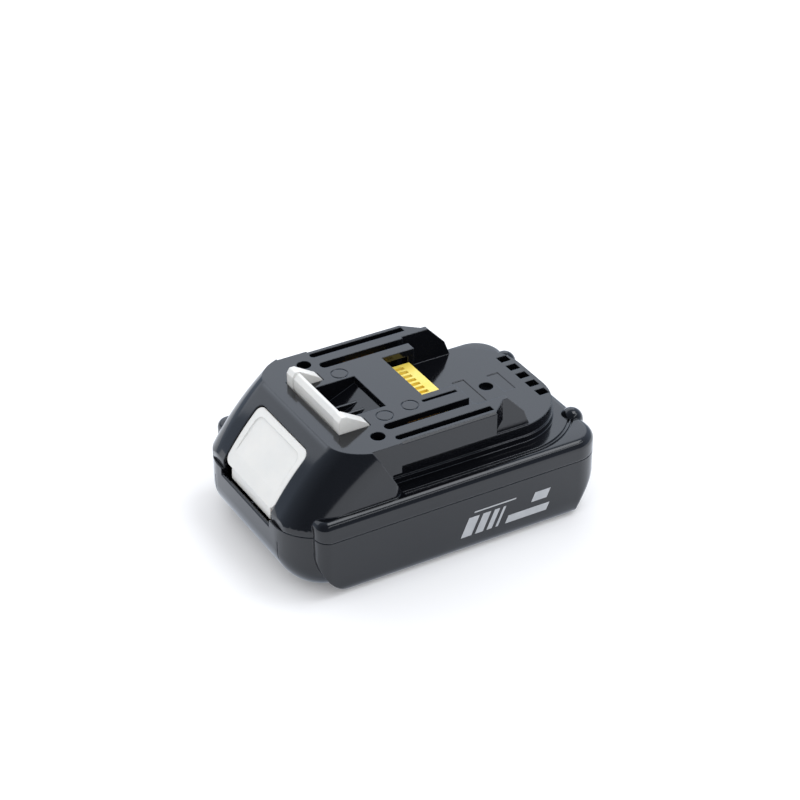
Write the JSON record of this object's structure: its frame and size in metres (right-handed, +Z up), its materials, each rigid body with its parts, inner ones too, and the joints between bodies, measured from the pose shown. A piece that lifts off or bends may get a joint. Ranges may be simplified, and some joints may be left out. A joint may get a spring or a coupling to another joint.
{
  "type": "power tool battery pack",
  "caption": "Slim slide-on battery pack for cordless tools, with rails, a sprung button latch with a hook, a terminal block and a row of round cells inside a black case",
  "frame": {"origin": "middle of the underside, on the plane that the pack stands on", "axes": "+X along the pack from the button end to the rear bumpers, +Y across it, +Z up through the rails"},
  "size_m": [0.116, 0.075, 0.0523],
  "materials": {
    "case_plastic": "injection-moulded black nylon blend, polished",
    "latch_plastic": "injection-moulded white acetal, satin",
    "terminal_plastic": "injection-moulded yellow polyester",
    "holder_plastic": "moulded dark grey plastic",
    "spring_steel": "drawn spring wire",
    "screw_steel": "zinc-plated steel",
    "cell_sleeve": "shrink sleeve over a steel can",
    "nickel": "bright nickel-plated strip",
    "fibre_sheet": "pressed fibre sheet",
    "pad_foam": "closed-cell foam",
    "board_laminate": "glass-fibre laminate with solder mask",
    "component_resin": "moulded resin",
    "contact_copper": "tin-bronze spring sheet"
  },
  "bodies": {
    "pack": {"lower_case": "case_plastic", "upper_case": "case_plastic", "latch_spring_left": "spring_steel", "latch_spring_right": "spring_steel", "cell_1": "cell_sleeve", "cell_2": "cell_sleeve", "cell_3": "cell_sleeve", "cell_4": "cell_sleeve", "cell_5": "cell_sleeve", "cell_holder": "holder_plastic", "strip_negative": "nickel", "strip_1_2": "nickel", "strip_2_3": "nickel", "strip_3_4": "nickel", "strip_4_5": "nickel", "strip_positive": "nickel", "insulator_left": "fibre_sheet", "insulator_right": "fibre_sheet", "base_pads": "pad_foam", "circuit_board": "board_laminate", "board_parts": "component_resin", "thermistor": "component_resin", "terminal_block": "terminal_plastic", "signal_contacts": "contact_copper", "contact_positive": "contact_copper", "contact_negative": "contact_copper", "case_screws": "screw_steel", "screw_plug": "case_plastic"},
    "latch_slide": {"latch": "latch_plastic"}
  },
  "joints": [
    {"name": "latch_press", "type": "slide", "parent": "pack", "child": "latch_slide", "axis": [0, 0, -1], "range_m": [0, 0.0058], "stiffness_N_per_m": 900, "springref_m": -0.003, "deforming": ["latch_spring_left", "latch_spring_right"]}
  ]
}
